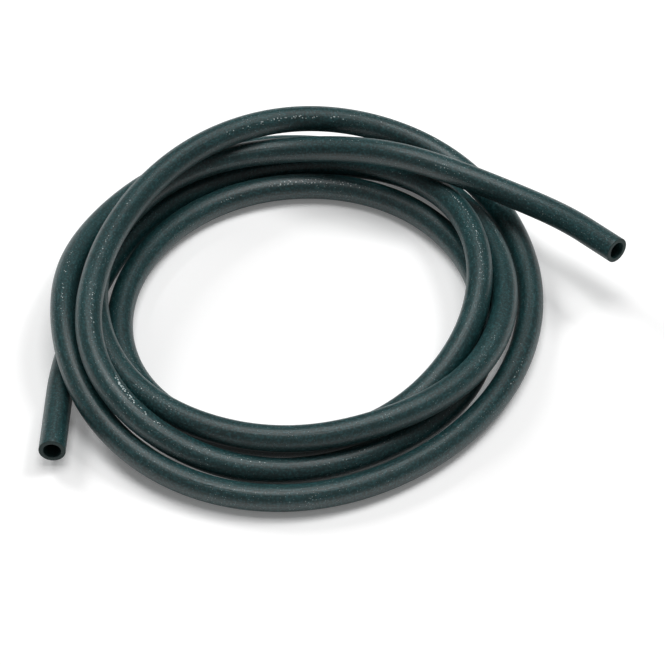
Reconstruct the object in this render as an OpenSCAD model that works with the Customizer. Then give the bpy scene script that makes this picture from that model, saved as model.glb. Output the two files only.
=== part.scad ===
// Soft rubber gas tubing, lying on a bench in a loose coil of four and a half turns.
// Its axis is one smooth curve, guided by stations set round the middle of the coil. The bore runs
// all the way through, and both ends are straight, open and cut square.

/* [Tubing] */
// Diameter of the bore
bore_d = 8; // [6:0.5:12]
// Thickness of the rubber wall
wall = 2; // [1:0.25:4]

/* [Coil] */
// Radius from the middle of the coil to the axis of a turn
coil_r = 90; // [80:1:140]
// Length of the straight stretch at the raised end
raised_end_l = 20; // [15:1:40]
// Length of the straight stretch at the low end
low_end_l = 36; // [15:1:50]

/* [Hidden] */

tube_d = bore_d + 2 * wall;

// The stations go counter-clockwise from +X, twelve to a turn and one row a turn. Their values are
// in twelfths of the tubing's diameter, so that tubing of any size keeps its turns clear.
station_deg = 30;
unit = tube_d / 12;
// How far outside coil_r the axis runs
OUT = [
  [68, 25, 0, 8, 12, 7, 1, -2, -8, -11, -11, -2],
  [3, 10, 22, 26, 26, 19, 14, 18, 17, 14, 8, 8],
  [14, 25, 34, 20, 8, -1, 0, 12, 5, -1, -7, -5],
  [-5, -2, 1, -1, -4, -8, -9, -10, -14, -18, -19, -17],
  [-10, 1, 12, 12, 9, 5, 5, 30, 65]
];
// How far the axis is lifted from where it is when the tubing lies on the bench
LIFT = [
  [31, 17, 31, 13, 13, 13, 13, 11, 11, 11, 13, 13],
  [11, 6, 0, 0, 0, 3, 21, 8, 0, 0, 0, 0],
  [0, 1, 10, 26, 27, 26, 27, 22, 5, 0, 0, 0],
  [0, 0, 0, 0, 0, 0, 0, 0, 0, 0, 1, 7],
  [13, 18, 9, 0, 0, 0, 0, 0, 15]
];

// The coil is swept in facets that lie just within the true wall, so that both ends of the sweep
// can lap into the round wall of the straight ends, which start one lap ahead of the coil.
sides = 12;
inset = 0.05;
lap = 1;
skin_r = tube_d / 2 - inset;
lining_r = bore_d / 2 / cos(180 / sides) + inset;

// The rings of the sweep lie in the same directions on every turn, so that neighbouring turns are
// faceted alike. The raised end needs one more ring, a little before the first direction. Each
// ring is an angle, counted on from turn to turn, and a distance ahead of the axis there.
ring_deg = 22.5;
ring_count = 73;
raised_end_deg = 15;
low_end_deg = ring_count * ring_deg;
RINGS = concat(
  [[raised_end_deg, -2 * lap], [raised_end_deg, 0]],
  [for (k = [1 : ring_count]) [k * ring_deg, 0]],
  [[low_end_deg, 2 * lap]]
);

function flat(rows) = [for (row = rows) each row];
function held(list, i) = list[max(0, min(len(list) - 1, i))];

// A cubic B-spline guided by a list of values, at place s along the list. Its weight at distance u
// from a value is one cubic nearer than 1 and another out to 2.
function weight(u) = u < 1 ? 2 / 3 - u * u + pow(u, 3) / 2 : pow(2 - u, 3) / 6;
function eased(list, s) = let (near = [for (k = [-1 : 2]) floor(s) + k])
  [for (i = near) weight(abs(s - i))] * [for (i = near) held(list, i)];

// The axis of the tubing, and the way it heads
small_deg = 0.01;
function axis_r(deg) = coil_r + unit * eased(flat(OUT), deg / station_deg);
function axis_z(deg) = skin_r + unit * eased(flat(LIFT), deg / station_deg);
function axis(deg) = [axis_r(deg) * cos(deg), axis_r(deg) * sin(deg), axis_z(deg)];
function unit_vector(v) = v / norm(v);
function heading(deg) = unit_vector(axis(deg + small_deg) - axis(deg - small_deg));

// The points of a ring, square to the axis: the first is level with it, and one is straight below
function ring(deg, ahead, r) = let (
  way = heading(deg),
  side = unit_vector(cross(way, [0, 0, 1])),
  up = cross(side, way),
  centre = axis(deg) + ahead * way
) [for (i = [0 : sides - 1]) centre + r * (cos(i * 360 / sides) * side + sin(i * 360 / sides) * up)];
SKIN = flat([for (place = RINGS) ring(place[0], place[1], skin_r)]);
LINING = flat([for (place = RINGS) ring(place[0], place[1], lining_r)]);

// The cut ends, and the middle of the whole footprint, which is the part's own origin
raised_way = -heading(raised_end_deg);
low_way = heading(low_end_deg);
function rim(tip, way) = [
  for (side = [-1, 1]) tip + side * tube_d / 2 * [for (c = way) sqrt(1 - c * c)]
];
OUTLINE = concat(
  SKIN,
  rim(axis(raised_end_deg) + raised_end_l * raised_way, raised_way),
  rim(axis(low_end_deg) + low_end_l * low_way, low_way)
);
function middle(list) = (min(list) + max(list)) / 2;
footprint = [middle([for (p = OUTLINE) p.x]), middle([for (p = OUTLINE) p.y])];

// A band of triangles between the ring that starts at point p and the ring that starts at point q
function band(p, q) = [
  for (i = [0 : sides - 1]) let (j = (i + 1) % sides) each [[p + i, p + j, q + j], [p + i, q + j, q + i]]
];

module swept_tube() {
  lining = len(SKIN);
  last = lining - sides;
  starts = [for (p = [0 : sides : last - sides]) p];
  skin_faces = [for (p = starts) each band(p, p + sides)];
  lining_faces = [for (p = starts) each band(lining + p + sides, lining + p)];
  polyhedron(
    points = concat(SKIN, LINING),
    faces = concat(skin_faces, lining_faces, band(lining, 0), band(last, lining + last))
  );
}

// A straight tube with a round bore, from the axis at this angle
end_fn = 48;
cut = 1;
module straight_end(deg, way, length) {
  round_l = length - lap;
  translate(axis(deg) + lap * way) rotate([0, acos(way.z), atan2(way.y, way.x)]) difference() {
    cylinder(d = tube_d, h = round_l, $fn = end_fn);
    translate([0, 0, -cut]) cylinder(d = bore_d, h = round_l + 2 * cut, $fn = end_fn);
  }
}

module tubing() {
  color("#2b3435") translate([-footprint.x, -footprint.y, 0]) {
    swept_tube();
    straight_end(raised_end_deg, raised_way, raised_end_l);
    straight_end(low_end_deg, low_way, low_end_l);
  }
}

tubing();
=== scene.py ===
"""Soft rubber gas tubing, lying on a bench in a loose coil of four and a half turns.

Lengths are in metres, and in millimetres where a name ends in _MM or _mm. Angles are in degrees.
"""
import math

import bpy
import numpy as np
from mathutils import Matrix


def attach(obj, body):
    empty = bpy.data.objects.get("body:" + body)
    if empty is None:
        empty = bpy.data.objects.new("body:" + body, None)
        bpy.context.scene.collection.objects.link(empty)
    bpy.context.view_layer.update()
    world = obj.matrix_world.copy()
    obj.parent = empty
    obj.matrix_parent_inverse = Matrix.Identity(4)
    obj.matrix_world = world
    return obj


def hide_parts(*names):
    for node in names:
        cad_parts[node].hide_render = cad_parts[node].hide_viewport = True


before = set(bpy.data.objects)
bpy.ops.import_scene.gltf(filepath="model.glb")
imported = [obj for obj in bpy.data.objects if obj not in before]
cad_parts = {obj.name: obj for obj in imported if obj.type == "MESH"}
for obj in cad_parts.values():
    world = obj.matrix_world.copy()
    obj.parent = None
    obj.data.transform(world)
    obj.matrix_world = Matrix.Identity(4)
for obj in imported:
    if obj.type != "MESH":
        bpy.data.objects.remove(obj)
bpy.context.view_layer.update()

MM = 0.001

# The tubing, as in the source of the part
BORE_R = 4 * MM
TUBE_R = 6 * MM
COIL_R = 90 * MM
RAISED_END_L = 20 * MM
LOW_END_L = 36 * MM
RAISED_END_DEG = 15
LOW_END_DEG = 1642.5

# The axis runs past stations that go counter-clockwise from +X, twelve to a turn and one row a
# turn. Their values are in millimetres.
STATION_DEG = 30
# How far outside COIL_R the axis runs
OUT_MM = [
    68, 25, 0, 8, 12, 7, 1, -2, -8, -11, -11, -2,
    3, 10, 22, 26, 26, 19, 14, 18, 17, 14, 8, 8,
    14, 25, 34, 20, 8, -1, 0, 12, 5, -1, -7, -5,
    -5, -2, 1, -1, -4, -8, -9, -10, -14, -18, -19, -17,
    -10, 1, 12, 12, 9, 5, 5, 30, 65,
]
# How far the axis is lifted from where it is when the tubing lies on the bench
LIFT_MM = [
    31, 17, 31, 13, 13, 13, 13, 11, 11, 11, 13, 13,
    11, 6, 0, 0, 0, 3, 21, 8, 0, 0, 0, 0,
    0, 1, 10, 26, 27, 26, 27, 22, 5, 0, 0, 0,
    0, 0, 0, 0, 0, 0, 0, 0, 0, 0, 1, 7,
    13, 18, 9, 0, 0, 0, 0, 0, 15,
]

# How finely the route is laid out, and how far apart the rings of the mesh then lie on it
ROUTE_STEP_DEG = 0.25
RING_STEP = 3 * MM
LINING_STEP = 9 * MM
SIDES = 36
# A knife leaves the edges of a cut very slightly rounded
EDGE_ROUND = 0.2 * MM
EDGE_STEPS = 3
# The tubing's materials, in the order of its slots
SKIN, CUT, LINING = range(3)

# The vector attribute that says where a point lies on the tubing when that is laid out straight:
# along it, to its side and up from its axis, in millimetres
STRAIGHT = "straightened_mm"

LOOKS_AT = (-0.0023, -0.0059, 0.0)
CAMERA_ELEVATION = 47
CAMERA_DISTANCE = 1.5
# The photograph is 665 pixels wide, and its lens is as long as 3290 of them
PICTURE_PX = 665
LENS_PX = 3290
SENSOR_MM = 36


def camera():
    """The camera looks down on the coil from the front, as the photograph's does."""
    data = bpy.data.cameras.new("camera")
    data.sensor_width = SENSOR_MM
    data.lens = SENSOR_MM * LENS_PX / PICTURE_PX
    made = bpy.data.objects.new("camera", data)
    tilt = math.radians(CAMERA_ELEVATION)
    back, up = CAMERA_DISTANCE * math.cos(tilt), CAMERA_DISTANCE * math.sin(tilt)
    made.location = (LOOKS_AT[0], LOOKS_AT[1] - back, LOOKS_AT[2] + up)
    made.rotation_euler = (math.pi / 2 - tilt, 0, 0)
    bpy.context.scene.collection.objects.link(made)
    bpy.context.scene.camera = made
    bpy.context.scene.view_settings.view_transform = "Standard"


def eased(values, place):
    """A cubic B-spline guided by the values, at this place along them."""
    total = 0.0
    for i in range(math.floor(place) - 1, math.floor(place) + 3):
        away = abs(place - i)
        if away < 1:
            weight = 2 / 3 - away**2 + away**3 / 2
        else:
            weight = (2 - away) ** 3 / 6
        total += weight * values[max(0, min(len(values) - 1, i))]
    return total


def axis(deg):
    """A point of the tubing's axis, from the middle of the coil."""
    r = COIL_R + MM * eased(OUT_MM, deg / STATION_DEG)
    z = TUBE_R + MM * eased(LIFT_MM, deg / STATION_DEG)
    return np.array([r * math.cos(math.radians(deg)), r * math.sin(math.radians(deg)), z])


def route():
    """Points evenly spaced along the axis from the raised end, and how far along each is."""
    degrees = [*np.arange(RAISED_END_DEG, LOW_END_DEG, ROUTE_STEP_DEG), LOW_END_DEG]
    curve = np.array([axis(deg) for deg in degrees])
    raised_way, low_way = curve[0] - curve[1], curve[-1] - curve[-2]
    raised_tip = curve[0] + RAISED_END_L * raised_way / np.linalg.norm(raised_way)
    low_tip = curve[-1] + LOW_END_L * low_way / np.linalg.norm(low_way)
    curve = np.vstack([raised_tip, curve, low_tip])
    along = np.concatenate([[0], np.cumsum(np.linalg.norm(np.diff(curve, axis=0), axis=1))])
    steps = np.linspace(0, along[-1], round(along[-1] / RING_STEP) + 1)
    points = np.stack([np.interp(steps, along, curve[:, i]) for i in range(3)], axis=1)
    return points, steps


def square_to(way):
    """The level direction and the upward one that are square to the way the tubing heads."""
    side = np.cross(way, [0, 0, 1])
    side /= np.linalg.norm(side)
    return side, np.cross(side, way)


def tube_rings(points, steps):
    """Rings from the raised cut along the skin to the low cut, and back through the bore.

    Each is a centre, the way the tubing heads there, how far along it is, a radius and a material.
    """
    ways = np.gradient(points, steps, axis=0)
    ways /= np.linalg.norm(ways, axis=1)[:, None]
    skin_edge_r = TUBE_R - EDGE_ROUND
    bore_edge_r = BORE_R + EDGE_ROUND
    quarter = [math.pi / 2 * i / EDGE_STEPS for i in range(EDGE_STEPS + 1)]
    rings = []

    def edge(end, middle_r, turns):
        """Rounds an edge of the cut at the first point or the last one."""
        for turn in turns:
            depth = EDGE_ROUND * (1 - math.cos(turn))
            ahead = depth if end == 0 else -depth
            r = middle_r + EDGE_ROUND * math.sin(turn)
            rings.append((points[end] + ahead * ways[end], ways[end], steps[end] + ahead, r, CUT))

    edge(0, skin_edge_r, quarter)
    for i in range(1, len(points) - 1):
        rings.append((points[i], ways[i], steps[i], TUBE_R, SKIN))
    edge(-1, skin_edge_r, quarter[::-1])
    edge(-1, bore_edge_r, [-turn for turn in quarter])
    stride = round(LINING_STEP / RING_STEP)
    for i in range(len(points) - 2, 0, -1):
        if i % stride == 0 or i in (1, len(points) - 2):
            rings.append((points[i], ways[i], steps[i], BORE_R, LINING))
    edge(0, bore_edge_r, [-turn for turn in quarter[::-1]])
    return rings


def tubing_mesh(points, steps):
    """The whole tubing as one closed skin, with its straightened places as an attribute."""
    rings = tube_rings(points, steps)
    turns = [2 * math.pi * i / SIDES for i in range(SIDES)]
    places, straight = [], []
    for centre, way, along, r, _ in rings:
        side, up = square_to(way)
        for turn in turns:
            across, high = r * math.cos(turn), r * math.sin(turn)
            places.append(centre + across * side + high * up)
            straight.append((along / MM, across / MM, high / MM))
    faces, materials = [], []
    for i, ring in enumerate(rings):
        j = (i + 1) % len(rings)
        # A band between two rings is cut rubber only where both of them are
        material = ring[-1] if rings[j][-1] == CUT else rings[j][-1]
        for a in range(SIDES):
            b = (a + 1) % SIDES
            faces.append((i * SIDES + a, j * SIDES + a, j * SIDES + b, i * SIDES + b))
            materials.append(material)
    mesh = bpy.data.meshes.new("gas_tubing")
    mesh.from_pydata(places, [], faces)
    mesh.polygons.foreach_set("material_index", materials)
    mesh.polygons.foreach_set("use_smooth", [True] * len(faces))
    attribute = mesh.attributes.new(STRAIGHT, "FLOAT_VECTOR", "POINT")
    attribute.data.foreach_set("vector", np.array(straight, dtype=np.float32).ravel())
    mesh.update()
    return mesh


camera()

# The part's own origin is in the middle of the footprint of the whole coil
points, steps = route()
mesh = tubing_mesh(points, steps)
corners = np.array([vertex.co for vertex in mesh.vertices])
middle = (corners.min(axis=0) + corners.max(axis=0)) / 2
middle[2] = 0
mesh.transform(Matrix.Translation(-middle))
points -= middle
tubing = bpy.data.objects.new("gas_tubing", mesh)
bpy.context.scene.collection.objects.link(tubing)
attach(tubing, "root")
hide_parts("tubing")


# The rubber's colours: the skin where it is clean, where it has bloomed, in its grain and where
# it is rubbed pale, and the darkest and palest of the cut and of the bore
CLEAN_SKIN, BLOOMED_SKIN, GRAIN, RUBBED_SKIN = "#042324", "#0a3031", "#275356", "#b4c0c0"
DARK_CUT, PALE_CUT = "#152625", "#2a3f3e"
DARK_BORE, PALE_BORE = "#122b2b", "#1d3d3d"
RUBBER_IOR = 1.52

# How far apart the rubber's patterns repeat: along the tubing, to its side and up
CLOUDS_MM = (30, 9, 9)
DIE_LINES_MM = (70, 0.9, 0.9)
BORE_LINES_MM = (40, 0.9, 0.9)
DRAG_MARKS_MM = (1, 0.5, 8)
TRAILS_MM = (60, 2.2, 2.2)
SPECKS_MM = 1.1

# How high above the axis the rubbing begins to show, and from where it shows in full
RUB_FROM_MM, RUB_FULL_MM = 2.5, 4.5
# Where the rubber has been rubbed: from and to along it, how far to the side at both, how strongly
RUBS_MM = (
    (895, 960, 0, 0.5, 0.5),
    (1415, 1495, -3.8, -3.8, 0.6),
    (1600, 1640, -1.5, -2, 0.5),
    (1650, 1694, -3.1, 0, 0.65),
    (1654, 1672, -2.9, -2, 1.0),
    (1705, 1745, 0.5, 0.5, 0.5),
    (1985, 2050, -2, -3, 0.6),
    (2400, 2480, 0.5, 0, 0.5),
)
RUB_WIDTH_MM = 1.1
TRAIL_STRENGTH = 0.5
# How far a speck reaches from its middle where the rubber is rubbed hardest, in spacings of specks
SPECK_REACH = 0.55

# A Mix node names its sockets alike for numbers, vectors and colours, so they go by place here
MIX_SHARE, MIX_FROM, MIX_TO, MIXED = 0, 6, 7, 2


def linear(colour):
    """An sRGB hex colour as linear RGBA."""
    levels = [int(colour[i : i + 2], 16) / 255 for i in (1, 3, 5)]
    return [c / 12.92 if c <= 0.04045 else ((c + 0.055) / 1.055) ** 2.4 for c in levels] + [1.0]


def spaced(sizes_mm):
    """The scale at which a pattern repeats at these sizes on the straightened tubing."""
    return tuple(1 / size for size in sizes_mm)


def add(tree, kind, inputs=None, **settings):
    """Adds a node with its settings.

    An input is given a value, an output to link it to, or a node, for that node's first output.
    """
    made = tree.nodes.new(kind)
    for name, value in settings.items():
        setattr(made, name, value)
    for name, value in (inputs or {}).items():
        if isinstance(value, bpy.types.Node):
            value = value.outputs[0]
        if isinstance(value, bpy.types.NodeSocket):
            tree.links.new(value, made.inputs[name])
        else:
            made.inputs[name].default_value = value
    return made


def new_material(name):
    """An empty material, and the tree to fill."""
    material = bpy.data.materials.new(name)
    material.use_nodes = True
    tree = material.node_tree
    tree.nodes.clear()
    return material, tree


def rubbed(tree, straight):
    """How strongly the rubber is rubbed: in faint trails all along its top, and at RUBS_MM."""
    place = add(tree, "ShaderNodeSeparateXYZ", {"Vector": straight})
    trail_place = add(tree, "ShaderNodeMapping", {"Vector": straight, "Scale": spaced(TRAILS_MM)})
    trails = add(tree, "ShaderNodeTexNoise", {"Vector": trail_place, "Scale": 1.0, "Detail": 1.0})
    strongest = add(
        tree,
        "ShaderNodeMapRange",
        {"Value": trails, "From Min": 0.62, "From Max": 0.72, "To Max": TRAIL_STRENGTH},
    )
    for start, end, start_aside, end_aside, strength in RUBS_MM:
        line = add(
            tree,
            "ShaderNodeMapRange",
            {
                "Value": place.outputs["X"],
                "From Min": start,
                "From Max": end,
                "To Min": start_aside,
                "To Max": end_aside,
            },
        )
        aside = add(
            tree, "ShaderNodeMath", {0: place.outputs["Y"], 1: line}, operation="SUBTRACT"
        )
        off = add(tree, "ShaderNodeMath", {0: aside}, operation="ABSOLUTE")
        narrow = add(
            tree,
            "ShaderNodeMapRange",
            {"Value": off, "From Min": RUB_WIDTH_MM, "From Max": RUB_WIDTH_MM / 2},
        )
        from_middle = add(
            tree,
            "ShaderNodeMath",
            {0: place.outputs["X"], 1: (start + end) / 2},
            operation="SUBTRACT",
        )
        beyond = add(tree, "ShaderNodeMath", {0: from_middle}, operation="ABSOLUTE")
        within = add(
            tree,
            "ShaderNodeMapRange",
            {
                "Value": beyond,
                "From Min": (end - start) / 2,
                "From Max": (end - start) / 3,
                "To Max": strength,
            },
        )
        rub = add(tree, "ShaderNodeMath", {0: narrow, 1: within}, operation="MULTIPLY")
        strongest = add(tree, "ShaderNodeMath", {0: strongest, 1: rub}, operation="MAXIMUM")
    on_top = add(
        tree,
        "ShaderNodeMapRange",
        {"Value": place.outputs["Z"], "From Min": RUB_FROM_MM, "From Max": RUB_FULL_MM},
    )
    return add(tree, "ShaderNodeMath", {0: strongest, 1: on_top}, operation="MULTIPLY")


def extruded_rubber():
    """Vulcanised rubber as it leaves the extruder: a dull satin skin with a faint bloom."""
    material, tree = new_material("extruded_rubber")
    straight = add(tree, "ShaderNodeAttribute", attribute_name=STRAIGHT).outputs["Vector"]

    # Bloom comes out of the rubber in soft clouds some 30 mm long
    cloud_place = add(tree, "ShaderNodeMapping", {"Vector": straight, "Scale": spaced(CLOUDS_MM)})
    clouds = add(tree, "ShaderNodeTexNoise", {"Vector": cloud_place, "Scale": 1.0, "Detail": 4.0})
    bloom = add(
        tree, "ShaderNodeMapRange", {"Value": clouds, "From Min": 0.35, "From Max": 0.7}
    )
    # The die draws fine lines along the skin, 0.9 mm apart
    line_place = add(
        tree, "ShaderNodeMapping", {"Vector": straight, "Scale": spaced(DIE_LINES_MM)}
    )
    lines = add(tree, "ShaderNodeTexNoise", {"Vector": line_place, "Scale": 1.0, "Detail": 2.0})
    # The skin's own grain is finer than a pixel, so it is drawn 1 mm coarse
    grain = add(tree, "ShaderNodeTexNoise", {"Vector": straight, "Scale": 1.0, "Detail": 3.0})
    body = add(
        tree,
        "ShaderNodeMix",
        {MIX_SHARE: bloom, MIX_FROM: linear(CLEAN_SKIN), MIX_TO: linear(BLOOMED_SKIN)},
        data_type="RGBA",
    )
    in_grain = add(
        tree, "ShaderNodeMapRange", {"Value": grain, "From Min": 0.45, "From Max": 0.75}
    )
    unmarked = add(
        tree,
        "ShaderNodeMix",
        {MIX_SHARE: in_grain, MIX_FROM: body.outputs[MIXED], MIX_TO: linear(GRAIN)},
        data_type="RGBA",
    )

    # Rubbing leaves pale specks, bigger where it was harder. The bloom has a few of its own all
    # over, finer than those.
    dusty = add(tree, "ShaderNodeMapRange", {"Value": bloom, "To Min": 0.15, "To Max": 0.36})
    marked = add(
        tree, "ShaderNodeMath", {0: rubbed(tree, straight), 1: dusty}, operation="MAXIMUM"
    )
    reach = add(tree, "ShaderNodeMath", {0: marked, 1: SPECK_REACH}, operation="MULTIPLY")
    away = add(
        tree,
        "ShaderNodeTexVoronoi",
        {"Vector": straight, "Scale": 1 / SPECKS_MM, "Randomness": 1.0},
    )
    cover = add(
        tree, "ShaderNodeMath", {0: reach, 1: away.outputs["Distance"]}, operation="SUBTRACT"
    )
    specks = add(tree, "ShaderNodeMapRange", {"Value": cover, "From Min": 0.0, "From Max": 0.12})
    colour = add(
        tree,
        "ShaderNodeMix",
        {MIX_SHARE: specks, MIX_FROM: unmarked.outputs[MIXED], MIX_TO: linear(RUBBED_SKIN)},
        data_type="RGBA",
    )

    rough = add(
        tree,
        "ShaderNodeMapRange",
        {"Value": lines, "From Min": 0.3, "From Max": 0.7, "To Min": 0.38, "To Max": 0.52},
    )
    relief = add(tree, "ShaderNodeMath", {0: lines, 1: grain}, operation="ADD")
    bump = add(
        tree, "ShaderNodeBump", {"Strength": 0.7, "Distance": 0.15 * MM, "Height": relief}
    )
    shader = add(
        tree,
        "ShaderNodeBsdfPrincipled",
        {
            "Base Color": colour.outputs[MIXED],
            "Roughness": rough,
            "IOR": RUBBER_IOR,
            "Specular IOR Level": 0.75,
            "Normal": bump,
        },
    )
    add(tree, "ShaderNodeOutputMaterial", {"Surface": shader})
    return material


def cut_rubber():
    """Rubber cut across with a knife: as dark as the skin but matt, with drag marks."""
    material, tree = new_material("knife_cut_rubber")
    straight = add(tree, "ShaderNodeAttribute", attribute_name=STRAIGHT).outputs["Vector"]
    # The blade's drag marks run across the cut, 0.5 mm apart
    drag_place = add(
        tree, "ShaderNodeMapping", {"Vector": straight, "Scale": spaced(DRAG_MARKS_MM)}
    )
    drag = add(tree, "ShaderNodeTexNoise", {"Vector": drag_place, "Scale": 1.0, "Detail": 3.0})
    colour = add(
        tree,
        "ShaderNodeMix",
        {MIX_SHARE: drag, MIX_FROM: linear(DARK_CUT), MIX_TO: linear(PALE_CUT)},
        data_type="RGBA",
    )
    bump = add(tree, "ShaderNodeBump", {"Strength": 0.4, "Distance": 0.1 * MM, "Height": drag})
    shader = add(
        tree,
        "ShaderNodeBsdfPrincipled",
        {
            "Base Color": colour.outputs[MIXED],
            "Roughness": 0.75,
            "IOR": RUBBER_IOR,
            "Normal": bump,
        },
    )
    add(tree, "ShaderNodeOutputMaterial", {"Surface": shader})
    return material


def bore_rubber():
    """The bore's own skin, formed on the extruder's pin: duller than the outside, and as dark."""
    material, tree = new_material("bore_rubber")
    straight = add(tree, "ShaderNodeAttribute", attribute_name=STRAIGHT).outputs["Vector"]
    line_place = add(
        tree, "ShaderNodeMapping", {"Vector": straight, "Scale": spaced(BORE_LINES_MM)}
    )
    lines = add(tree, "ShaderNodeTexNoise", {"Vector": line_place, "Scale": 1.0, "Detail": 2.0})
    colour = add(
        tree,
        "ShaderNodeMix",
        {MIX_SHARE: lines, MIX_FROM: linear(DARK_BORE), MIX_TO: linear(PALE_BORE)},
        data_type="RGBA",
    )
    shader = add(
        tree,
        "ShaderNodeBsdfPrincipled",
        {"Base Color": colour.outputs[MIXED], "Roughness": 0.6, "IOR": RUBBER_IOR},
    )
    add(tree, "ShaderNodeOutputMaterial", {"Surface": shader})
    return material


for material in (extruded_rubber(), cut_rubber(), bore_rubber()):
    tubing.data.materials.append(material)


WHITE = "#ffffff"
WHITE_LAMINATE = "#f8f8f8"
SKY_LIGHT = 0.15
LAMP_DISTANCE = 2.2
FLOOR_HALF = 3.0
# The floor glows a little round the tubing, so that the shadows on it show, and further off it
# glows as strongly as white itself. The glow is only for the eye, and lights nothing.
LIT_WITHIN = 0.25
WHITE_BEYOND = 0.8
GLOW_WHERE_LIT = 0.12


def shown_rays(tree):
    """1 for a ray that shows the floor to the eye, straight, in a reflection or through glass."""
    rays = add(tree, "ShaderNodeLightPath")
    seen = add(
        tree,
        "ShaderNodeMath",
        {0: rays.outputs["Is Camera Ray"], 1: rays.outputs["Is Glossy Ray"]},
        operation="MAXIMUM",
    )
    return add(
        tree,
        "ShaderNodeMath",
        {0: seen, 1: rays.outputs["Is Transmission Ray"]},
        operation="MAXIMUM",
    )


def floor():
    """A bench top of white laminate, matt enough to show no reflection."""
    mesh = bpy.data.meshes.new("floor")
    corners = [(x * FLOOR_HALF, y * FLOOR_HALF, 0) for x, y in ((-1, -1), (1, -1), (1, 1), (-1, 1))]
    mesh.from_pydata(corners, [], [(0, 1, 2, 3)])
    made = bpy.data.objects.new("floor", mesh)
    bpy.context.scene.collection.objects.link(made)
    material, tree = new_material("white_bench")
    place = add(tree, "ShaderNodeTexCoord").outputs["Object"]
    away = add(tree, "ShaderNodeVectorMath", {0: place}, operation="LENGTH")
    white = add(
        tree,
        "ShaderNodeMapRange",
        {
            "Value": away.outputs["Value"],
            "From Min": LIT_WITHIN,
            "From Max": WHITE_BEYOND,
            "To Min": GLOW_WHERE_LIT,
            "To Max": 1.0,
        },
    )
    glow = add(tree, "ShaderNodeMath", {0: shown_rays(tree), 1: white}, operation="MULTIPLY")
    shader = add(
        tree,
        "ShaderNodeBsdfPrincipled",
        {
            "Base Color": linear(WHITE_LAMINATE),
            "Roughness": 1.0,
            "Specular IOR Level": 0.0,
            "Emission Color": linear(WHITE),
            "Emission Strength": glow,
        },
    )
    add(tree, "ShaderNodeOutputMaterial", {"Surface": shader})
    mesh.materials.append(material)


def sky():
    """Even light from all round, as from pale walls and a ceiling."""
    world = bpy.data.worlds.new("white_room")
    world.use_nodes = True
    tree = world.node_tree
    tree.nodes.clear()
    shader = add(tree, "ShaderNodeBackground", {"Color": linear(WHITE), "Strength": SKY_LIGHT})
    add(tree, "ShaderNodeOutputWorld", {"Surface": shader})
    bpy.context.scene.world = world


def lamp(name, azimuth, elevation, size, watts, shines=True):
    """A soft square lamp that faces the tubing, its azimuth counted from behind to the right.

    One that doesn't shine lights the tubing, but leaves no highlight on it.
    """
    data = bpy.data.lights.new(name, "AREA")
    data.shape = "SQUARE"
    data.size = size
    data.energy = watts
    made = bpy.data.objects.new(name, data)
    turn, tilt = math.radians(azimuth), math.radians(elevation)
    made.location = (
        LAMP_DISTANCE * math.cos(tilt) * math.sin(turn),
        LAMP_DISTANCE * math.cos(tilt) * math.cos(turn),
        LAMP_DISTANCE * math.sin(tilt),
    )
    made.rotation_euler = (tilt - math.pi / 2, 0, -turn)
    made.visible_glossy = shines
    bpy.context.scene.collection.objects.link(made)


floor()
sky()
lamp("left_lamp", azimuth=-44, elevation=35, size=0.7, watts=21, shines=False)
lamp("right_lamp", azimuth=52, elevation=52, size=0.7, watts=18, shines=False)
lamp("back_lamp", azimuth=0, elevation=80, size=1.2, watts=22)
